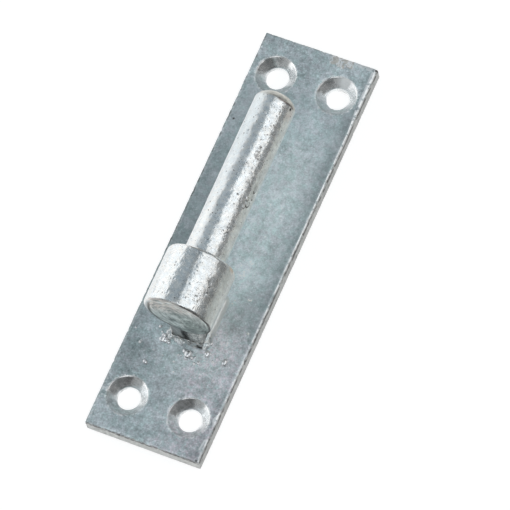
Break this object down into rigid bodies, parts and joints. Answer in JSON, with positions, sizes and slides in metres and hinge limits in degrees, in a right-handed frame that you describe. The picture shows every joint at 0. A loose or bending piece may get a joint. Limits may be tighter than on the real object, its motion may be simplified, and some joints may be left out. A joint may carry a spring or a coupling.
{
  "type": "gate hinge pin",
  "caption": "Upright hinge pin with a larger round boss on a short neck, welded to a flat plate with countersunk screw holes. A gate's eye drops over the pin and turns on the boss.",
  "frame": {"origin": "middle of the plate's back face, which lies against the post", "axes": "+X across the plate, +Y along the plate and the pin towards the pin's tip, +Z out of the plate, away from the post"},
  "size_m": [0.035, 0.127, 0.0342],
  "materials": {
    "plate_zinc": "mottled grey hot-dip zinc on rolled steel, satin",
    "pin_zinc": "bright hot-dip zinc on turned steel, with fine pits",
    "weld_zinc": "dull hot-dip zinc over a rough weld"
  },
  "bodies": {
    "root": {"back_plate": "plate_zinc", "hinge_pin": "pin_zinc", "weld_bead": "weld_zinc"}
  },
  "joints": []
}
